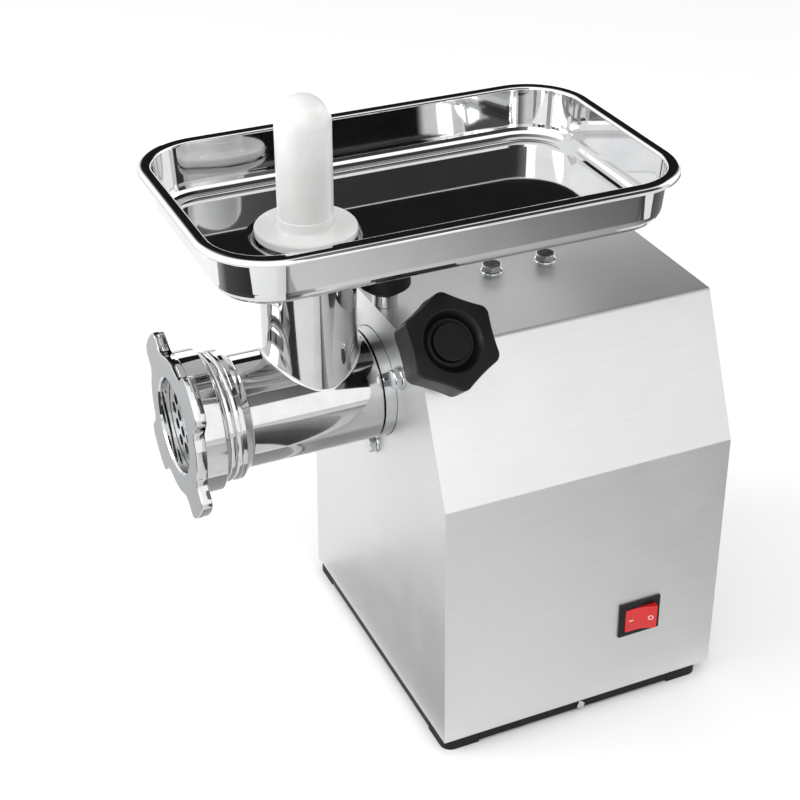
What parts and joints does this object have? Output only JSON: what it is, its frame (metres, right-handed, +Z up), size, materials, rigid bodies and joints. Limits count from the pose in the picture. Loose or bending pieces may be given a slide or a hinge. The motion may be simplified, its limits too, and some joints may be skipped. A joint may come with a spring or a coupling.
{
  "type": "electric meat grinder",
  "caption": "Countertop electric meat grinder: folded steel housing, removable barrel head with feed neck, lugged ring nut, meat tray, pusher, clamp knob and rocker switch.",
  "frame": {"origin": "middle of the footprint, on the floor under the rubber feet", "axes": "+Z up, -Y towards the discharge end, +X towards the switch and the clamp knob"},
  "size_m": [0.2451, 0.3714, 0.455],
  "materials": {
    "brushed_stainless": "brushed",
    "polished_stainless": "mirror polished",
    "polished_cast": "polished",
    "bright_fasteners": "bright zinc",
    "tool_steel": "ground",
    "machined_steel": "machined",
    "cast_aluminium": "as cast, turned socket",
    "laminated_steel": "laminated",
    "enamelled_copper": "enamelled wire",
    "galvanised_steel": "galvanised",
    "black_painted_steel": "satin",
    "black_rubber": "matt",
    "black_plastic": "satin",
    "red_plastic": "gloss",
    "white_plastic": "semi-gloss",
    "grey_plastic": "satin"
  },
  "bodies": {
    "frame": {"housing_shell": "brushed_stainless", "front_panel": "brushed_stainless", "rear_panel": "brushed_stainless", "rest_stub": "polished_cast", "rear_screws": "bright_fasteners", "front_bolts": "bright_fasteners", "roof_bolts": "bright_fasteners", "cover_screws": "bright_fasteners", "foot_screws": "bright_fasteners", "pan_screws": "bright_fasteners", "tie_bolts": "bright_fasteners", "cradle_bolts": "bright_fasteners", "stay_screws": "bright_fasteners", "rest_nut": "bright_fasteners", "main_bearing": "machined_steel", "tail_bearings": "machined_steel", "motor_bearings": "machined_steel", "gearbox_case": "cast_aluminium", "gearbox_cover": "cast_aluminium", "motor_front_bell": "cast_aluminium", "motor_rear_bell": "cast_aluminium", "stator_core": "laminated_steel", "windings": "enamelled_copper", "chassis_plate": "galvanised_steel", "motor_cradle": "galvanised_steel", "stay_bracket": "galvanised_steel", "capacitor_clip": "galvanised_steel", "base_pan": "black_painted_steel", "rubber_feet": "black_rubber", "rest_cap": "black_rubber", "oil_seal": "black_rubber", "switch_body": "black_plastic", "cable_gland": "black_plastic", "capacitor": "grey_plastic"},
    "drive": {"output_shaft": "machined_steel", "output_gear": "machined_steel"},
    "countershaft": {"countershaft": "machined_steel", "counter_gear": "machined_steel"},
    "rotor": {"motor_shaft": "machined_steel", "rotor_core": "laminated_steel", "cooling_fan": "black_plastic"},
    "head": {"grinding_head": "polished_cast", "cutting_plate": "tool_steel", "plate_key": "tool_steel"},
    "auger": {"auger": "tool_steel", "cross_knife": "tool_steel", "thrust_washer": "tool_steel"},
    "ring_nut": {"ring_nut": "polished_cast"},
    "clamp_stud": {"clamp_stud": "bright_fasteners"},
    "clamp_knob": {"clamp_knob": "black_plastic"},
    "tray": {"tray": "polished_stainless"},
    "pusher": {"pusher": "white_plastic"},
    "switch_rocker": {"switch_rocker": "red_plastic"}
  },
  "joints": [
    {"name": "output_spin", "type": "hinge", "parent": "frame", "child": "drive", "pos_m": [0, 0.00965, 0.2415], "axis": [0, 1, 0], "continuous": true},
    {"name": "countershaft_spin", "type": "hinge", "parent": "frame", "child": "countershaft", "pos_m": [0, 0.00965, 0.1815], "axis": [0, 1, 0], "continuous": true},
    {"name": "motor_spin", "type": "hinge", "parent": "frame", "child": "rotor", "pos_m": [0, 0.09365, 0.1305], "axis": [0, 1, 0], "continuous": true},
    {"name": "head_pull", "type": "slide", "parent": "frame", "child": "head", "axis": [0, -1, 0], "range_m": [0, 0.06]},
    {"name": "auger_spin", "type": "hinge", "parent": "head", "child": "auger", "pos_m": [0, -0.10235, 0.2415], "axis": [0, 1, 0], "continuous": true},
    {"name": "nut_turn", "type": "hinge", "parent": "head", "child": "ring_nut", "pos_m": [0, -0.17835, 0.2415], "axis": [0, -1, 0], "range_deg": [0, 720]},
    {"name": "clamp_travel", "type": "slide", "parent": "frame", "child": "clamp_stud", "axis": [0.7771, 0, 0.6293], "range_m": [0, 0.003]},
    {"name": "clamp_turn", "type": "hinge", "parent": "clamp_stud", "child": "clamp_knob", "pos_m": [0.08393, -0.02885, 0.30947], "axis": [0.7771, 0, 0.6293], "range_deg": [0, 720]},
    {"name": "tray_lift", "type": "slide", "parent": "head", "child": "tray", "axis": [0, 0, 1], "range_m": [0, 0.1]},
    {"name": "pusher_lift", "type": "slide", "parent": "tray", "child": "pusher", "axis": [0, 0, 1], "range_m": [0, 0.15]},
    {"name": "rocker_tilt", "type": "hinge", "parent": "frame", "child": "switch_rocker", "pos_m": [0.11788, 0.11115, 0.07171], "axis": [-0.0258, 0, 0.9997], "range_deg": [0, 20]}
  ],
  "couplings": [
    {"joint": "countershaft_spin", "follows": "output_spin", "ratio": -2.3333},
    {"joint": "motor_spin", "follows": "output_spin", "ratio": 7.5833},
    {"joint": "auger_spin", "follows": "output_spin", "ratio": 1},
    {"joint": "clamp_travel", "follows": "clamp_turn", "m_per_rad": 0.00023873}
  ]
}
